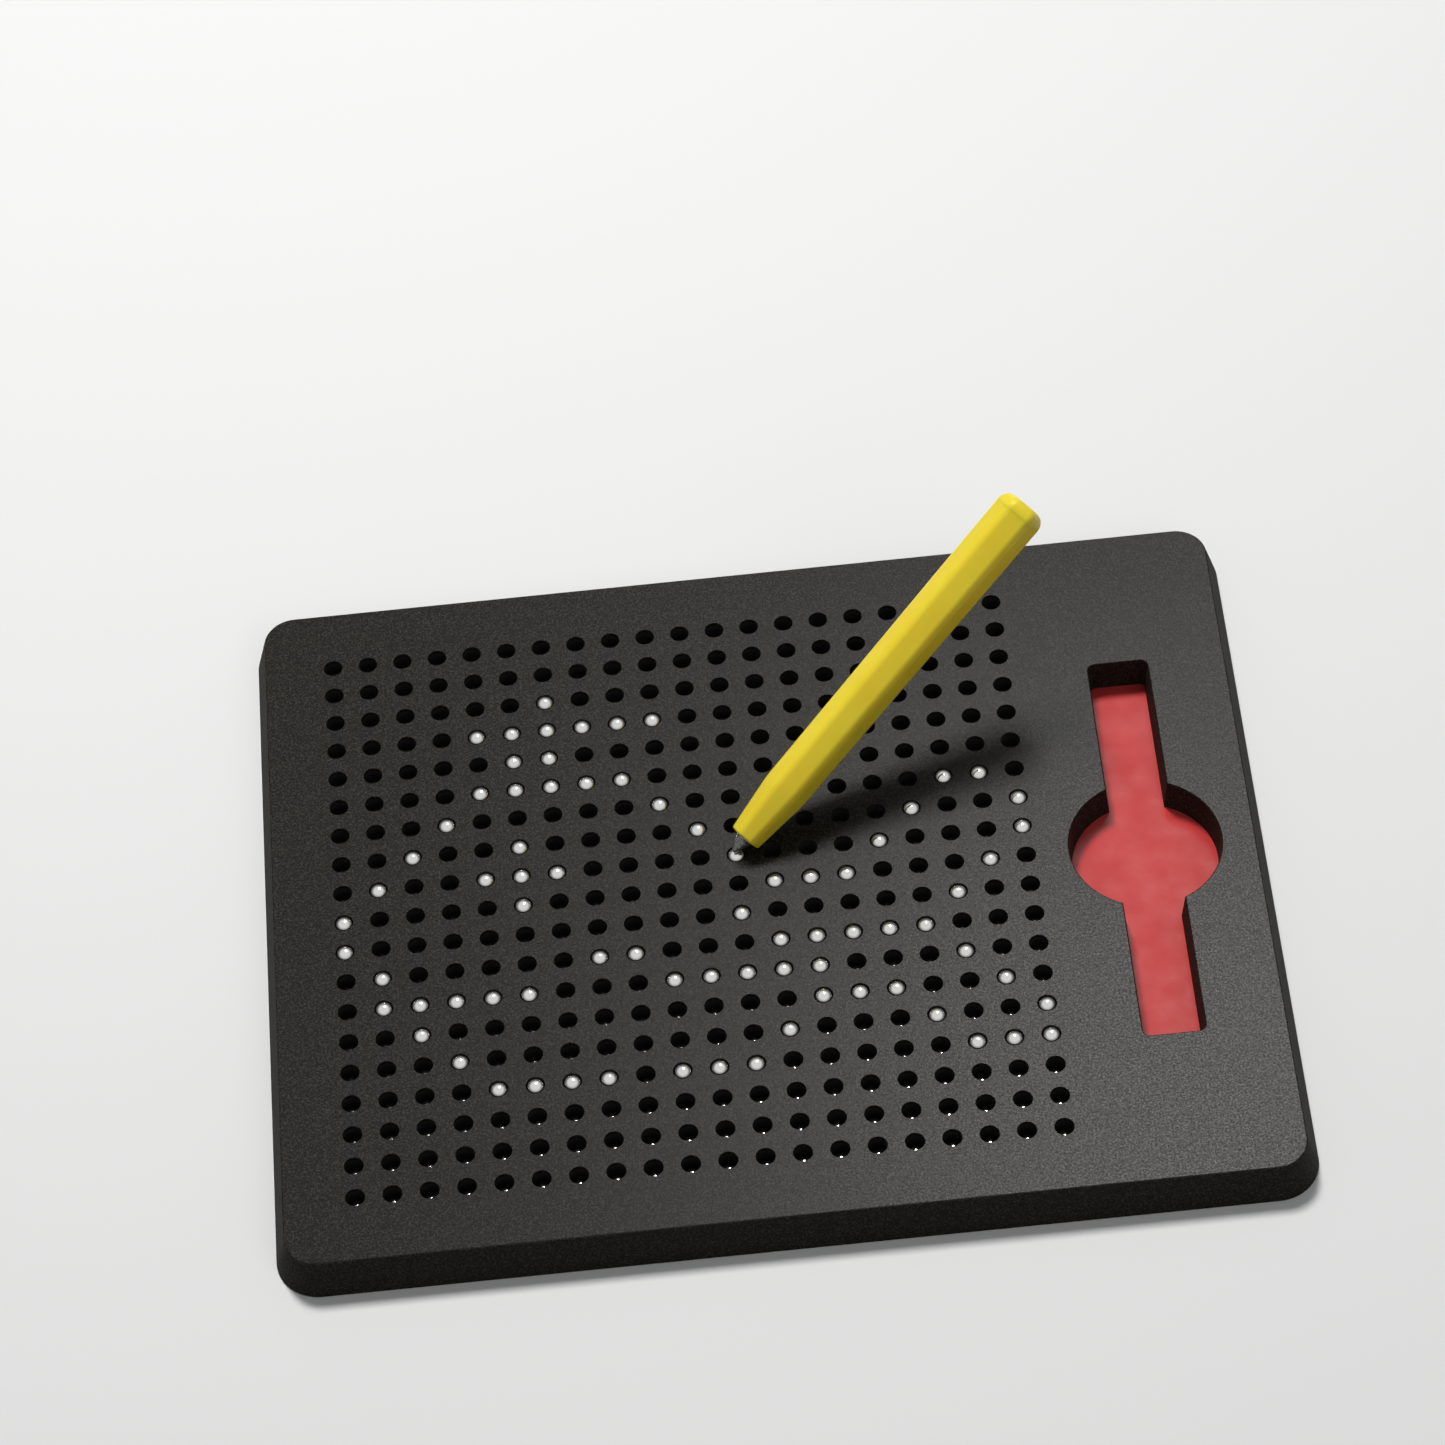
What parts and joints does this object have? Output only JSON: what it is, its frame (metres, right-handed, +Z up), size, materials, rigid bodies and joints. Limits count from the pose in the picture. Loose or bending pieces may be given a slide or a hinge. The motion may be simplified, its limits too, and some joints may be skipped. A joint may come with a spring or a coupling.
{
  "type": "magnetic ball drawing pad",
  "caption": "Flat dark drawing pad with a grid of steel balls in round cells, raised into view by a yellow six-sided magnetic stylus and pressed back by a finger.",
  "frame": {"origin": "middle of the flat base, on the surface the pad lies on", "axes": "+Z up out of the drawing face, +X from the ball field to the stylus tray, +Y to the back edge"},
  "size_m": [0.2546, 0.2054, 0.0704],
  "materials": {
    "face_plastic": "fine sparkle texture, matt",
    "magnet_rubber": "matt flexible magnet",
    "guide_plastic": "moulded black",
    "backing_foam": "matt foam sheet",
    "back_plastic": "satin red",
    "screw_steel": "plated",
    "ball_steel": "polished",
    "stylus_plastic": "satin yellow",
    "tip_steel": "turned and polished",
    "magnet_metal": "plated magnet"
  },
  "bodies": {
    "pad": {"front_cover": "face_plastic", "magnet_sheet": "magnet_rubber", "ball_guide": "guide_plastic", "backing_sheet": "backing_foam", "back_cover": "back_plastic", "back_screws": "screw_steel"},
    "stylus": {"stylus_barrel": "stylus_plastic", "stylus_end_cap": "stylus_plastic", "stylus_tip": "tip_steel", "stylus_magnet": "magnet_metal"},
    "lowered_balls_row_01": {"lowered_balls_row_01": "ball_steel"},
    "lowered_balls_row_02": {"lowered_balls_row_02": "ball_steel"},
    "lowered_balls_row_03": {"lowered_balls_row_03": "ball_steel"},
    "lowered_balls_row_04": {"lowered_balls_row_04": "ball_steel"},
    "lowered_balls_row_05": {"lowered_balls_row_05": "ball_steel"},
    "lowered_balls_row_06": {"lowered_balls_row_06": "ball_steel"},
    "lowered_balls_row_07": {"lowered_balls_row_07": "ball_steel"},
    "lowered_balls_row_08": {"lowered_balls_row_08": "ball_steel"},
    "lowered_balls_row_09": {"lowered_balls_row_09": "ball_steel"},
    "lowered_balls_row_10": {"lowered_balls_row_10": "ball_steel"},
    "lowered_balls_row_11": {"lowered_balls_row_11": "ball_steel"},
    "lowered_balls_row_12": {"lowered_balls_row_12": "ball_steel"},
    "lowered_balls_row_13": {"lowered_balls_row_13": "ball_steel"},
    "lowered_balls_row_14": {"lowered_balls_row_14": "ball_steel"},
    "lowered_balls_row_15": {"lowered_balls_row_15": "ball_steel"},
    "lowered_balls_row_16": {"lowered_balls_row_16": "ball_steel"},
    "lowered_balls_row_17": {"lowered_balls_row_17": "ball_steel"},
    "lowered_balls_row_18": {"lowered_balls_row_18": "ball_steel"},
    "lowered_balls_row_19": {"lowered_balls_row_19": "ball_steel"},
    "raised_balls_row_04": {"raised_balls_row_04": "ball_steel"},
    "raised_balls_row_05": {"raised_balls_row_05": "ball_steel"},
    "raised_balls_row_06": {"raised_balls_row_06": "ball_steel"},
    "raised_balls_row_07": {"raised_balls_row_07": "ball_steel"},
    "raised_balls_row_08": {"raised_balls_row_08": "ball_steel"},
    "raised_balls_row_09": {"raised_balls_row_09": "ball_steel"},
    "raised_balls_row_10": {"raised_balls_row_10": "ball_steel"},
    "raised_balls_row_11": {"raised_balls_row_11": "ball_steel"},
    "raised_balls_row_12": {"raised_balls_row_12": "ball_steel"},
    "raised_balls_row_13": {"raised_balls_row_13": "ball_steel"},
    "raised_balls_row_14": {"raised_balls_row_14": "ball_steel"},
    "raised_balls_row_15": {"raised_balls_row_15": "ball_steel"},
    "raised_balls_row_16": {"raised_balls_row_16": "ball_steel"},
    "raised_balls_row_17": {"raised_balls_row_17": "ball_steel"}
  },
  "joints": [
    {"name": "lowered_row_01_lift", "type": "slide", "parent": "pad", "child": "lowered_balls_row_01", "axis": [0, 0, 1], "range_m": [0, 0.00448]},
    {"name": "lowered_row_02_lift", "type": "slide", "parent": "pad", "child": "lowered_balls_row_02", "axis": [0, 0, 1], "range_m": [0, 0.00448]},
    {"name": "lowered_row_03_lift", "type": "slide", "parent": "pad", "child": "lowered_balls_row_03", "axis": [0, 0, 1], "range_m": [0, 0.00448]},
    {"name": "lowered_row_04_lift", "type": "slide", "parent": "pad", "child": "lowered_balls_row_04", "axis": [0, 0, 1], "range_m": [0, 0.00448]},
    {"name": "lowered_row_05_lift", "type": "slide", "parent": "pad", "child": "lowered_balls_row_05", "axis": [0, 0, 1], "range_m": [0, 0.00448]},
    {"name": "lowered_row_06_lift", "type": "slide", "parent": "pad", "child": "lowered_balls_row_06", "axis": [0, 0, 1], "range_m": [0, 0.00448]},
    {"name": "lowered_row_07_lift", "type": "slide", "parent": "pad", "child": "lowered_balls_row_07", "axis": [0, 0, 1], "range_m": [0, 0.00448]},
    {"name": "lowered_row_08_lift", "type": "slide", "parent": "pad", "child": "lowered_balls_row_08", "axis": [0, 0, 1], "range_m": [0, 0.00448]},
    {"name": "lowered_row_09_lift", "type": "slide", "parent": "pad", "child": "lowered_balls_row_09", "axis": [0, 0, 1], "range_m": [0, 0.00448]},
    {"name": "lowered_row_10_lift", "type": "slide", "parent": "pad", "child": "lowered_balls_row_10", "axis": [0, 0, 1], "range_m": [0, 0.00448]},
    {"name": "lowered_row_11_lift", "type": "slide", "parent": "pad", "child": "lowered_balls_row_11", "axis": [0, 0, 1], "range_m": [0, 0.00448]},
    {"name": "lowered_row_12_lift", "type": "slide", "parent": "pad", "child": "lowered_balls_row_12", "axis": [0, 0, 1], "range_m": [0, 0.00448]},
    {"name": "lowered_row_13_lift", "type": "slide", "parent": "pad", "child": "lowered_balls_row_13", "axis": [0, 0, 1], "range_m": [0, 0.00448]},
    {"name": "lowered_row_14_lift", "type": "slide", "parent": "pad", "child": "lowered_balls_row_14", "axis": [0, 0, 1], "range_m": [0, 0.00448]},
    {"name": "lowered_row_15_lift", "type": "slide", "parent": "pad", "child": "lowered_balls_row_15", "axis": [0, 0, 1], "range_m": [0, 0.00448]},
    {"name": "lowered_row_16_lift", "type": "slide", "parent": "pad", "child": "lowered_balls_row_16", "axis": [0, 0, 1], "range_m": [0, 0.00448]},
    {"name": "lowered_row_17_lift", "type": "slide", "parent": "pad", "child": "lowered_balls_row_17", "axis": [0, 0, 1], "range_m": [0, 0.00448]},
    {"name": "lowered_row_18_lift", "type": "slide", "parent": "pad", "child": "lowered_balls_row_18", "axis": [0, 0, 1], "range_m": [0, 0.00448]},
    {"name": "lowered_row_19_lift", "type": "slide", "parent": "pad", "child": "lowered_balls_row_19", "axis": [0, 0, 1], "range_m": [0, 0.00448]},
    {"name": "raised_row_04_press", "type": "slide", "parent": "pad", "child": "raised_balls_row_04", "axis": [0, 0, 1], "range_m": [-0.00448, 0]},
    {"name": "raised_row_05_press", "type": "slide", "parent": "pad", "child": "raised_balls_row_05", "axis": [0, 0, 1], "range_m": [-0.00448, 0]},
    {"name": "raised_row_06_press", "type": "slide", "parent": "pad", "child": "raised_balls_row_06", "axis": [0, 0, 1], "range_m": [-0.00448, 0]},
    {"name": "raised_row_07_press", "type": "slide", "parent": "pad", "child": "raised_balls_row_07", "axis": [0, 0, 1], "range_m": [-0.00448, 0]},
    {"name": "raised_row_08_press", "type": "slide", "parent": "pad", "child": "raised_balls_row_08", "axis": [0, 0, 1], "range_m": [-0.00448, 0]},
    {"name": "raised_row_09_press", "type": "slide", "parent": "pad", "child": "raised_balls_row_09", "axis": [0, 0, 1], "range_m": [-0.00448, 0]},
    {"name": "raised_row_10_press", "type": "slide", "parent": "pad", "child": "raised_balls_row_10", "axis": [0, 0, 1], "range_m": [-0.00448, 0]},
    {"name": "raised_row_11_press", "type": "slide", "parent": "pad", "child": "raised_balls_row_11", "axis": [0, 0, 1], "range_m": [-0.00448, 0]},
    {"name": "raised_row_12_press", "type": "slide", "parent": "pad", "child": "raised_balls_row_12", "axis": [0, 0, 1], "range_m": [-0.00448, 0]},
    {"name": "raised_row_13_press", "type": "slide", "parent": "pad", "child": "raised_balls_row_13", "axis": [0, 0, 1], "range_m": [-0.00448, 0]},
    {"name": "raised_row_14_press", "type": "slide", "parent": "pad", "child": "raised_balls_row_14", "axis": [0, 0, 1], "range_m": [-0.00448, 0]},
    {"name": "raised_row_15_press", "type": "slide", "parent": "pad", "child": "raised_balls_row_15", "axis": [0, 0, 1], "range_m": [-0.00448, 0]},
    {"name": "raised_row_16_press", "type": "slide", "parent": "pad", "child": "raised_balls_row_16", "axis": [0, 0, 1], "range_m": [-0.00448, 0]},
    {"name": "raised_row_17_press", "type": "slide", "parent": "pad", "child": "raised_balls_row_17", "axis": [0, 0, 1], "range_m": [-0.00448, 0]},
    {"name": "stylus_lift", "type": "slide", "parent": "pad", "child": "stylus", "axis": [0, 0, 1], "range_m": [0, 0.06]}
  ]
}
